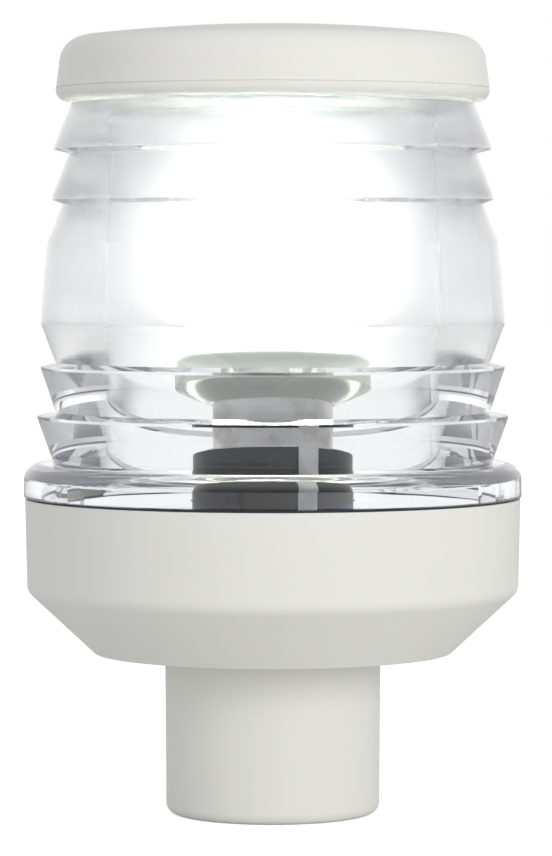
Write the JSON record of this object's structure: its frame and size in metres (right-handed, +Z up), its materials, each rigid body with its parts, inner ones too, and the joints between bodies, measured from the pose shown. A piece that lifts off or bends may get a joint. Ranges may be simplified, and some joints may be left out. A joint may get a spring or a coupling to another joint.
{
  "type": "navigation_light",
  "caption": "All-round white masthead navigation light: white plug-in housing with pole socket, clear prismatic drum lens, mirror plate, bayonet lampholder, LED bulb and white cap.",
  "frame": {"origin": "centre of the stem's lower end face, where the pole enters", "axes": "+Z up along the light's axis, -Y the front, +X to the right seen from the front"},
  "size_m": [0.0622, 0.0622, 0.0984],
  "materials": {
    "white_abs": "moulded white ABS with a fine even sheen",
    "cap_abs": "moulded white ABS, slightly satin",
    "stainless": "machined stainless steel",
    "black_rubber": "matt moulded rubber",
    "gasket_rubber": "thin dark flat rubber ring",
    "mirror": "vacuum-metallised mirror plate",
    "lens_clear": "polished clear polycarbonate",
    "holder_black": "black heat-resistant moulding",
    "nickel": "nickel-plated drawn brass",
    "tinned_brass": "tinned brass strip",
    "brass": "turned brass",
    "spring_steel": "drawn spring wire",
    "black_glass": "black vitrite insulator",
    "solder": "dull solder pad",
    "collar_translucent": "translucent milky plastic",
    "board_white": "white solder mask",
    "tower_aluminium": "anodised aluminium",
    "led_light": "white phosphor LED faces",
    "dome_clear": "clear polycarbonate cover"
  },
  "bodies": {
    "base": {"housing": "white_abs", "pole_screw": "stainless", "cable_grommet": "black_rubber", "reflector": "mirror", "lampholder_body": "holder_black", "holder_screws": "stainless", "bayonet_shell": "nickel", "shell_strip": "tinned_brass", "centre_terminal": "tinned_brass", "contact_spring": "spring_steel"},
    "gasket": {"lens_gasket": "gasket_rubber"},
    "lens": {"lens": "lens_clear", "top_cap": "cap_abs"},
    "bulb": {"bulb_cap": "nickel", "bulb_pins": "nickel", "bulb_insulator": "black_glass", "bulb_contact": "solder", "bulb_collar": "collar_translucent", "led_board": "board_white", "led_tower": "tower_aluminium", "led_chips": "led_light", "bulb_dome": "dome_clear"},
    "plunger": {"centre_contact": "brass"}
  },
  "joints": [
    {"name": "lens_lift", "type": "slide", "parent": "base", "child": "gasket", "axis": [0, 0, 1], "range_m": [0, 0.06]},
    {"name": "lens_twist", "type": "hinge", "parent": "gasket", "child": "lens", "pos_m": [0, 0, 0.0398], "axis": [0, 0, 1], "range_deg": [-14, 0]},
    {"name": "bulb_push", "type": "slide", "parent": "base", "child": "bulb", "axis": [0, 0, 1], "range_m": [-0.0015, 0], "stiffness_N_per_m": 1500, "springref_m": 0.003, "deforming": ["contact_spring"]},
    {"name": "plunger_slide", "type": "slide", "parent": "base", "child": "plunger", "axis": [0, 0, 1], "range_m": [-0.0015, 0]}
  ],
  "couplings": [
    {"joint": "plunger_slide", "follows": "bulb_push", "ratio": 1}
  ]
}
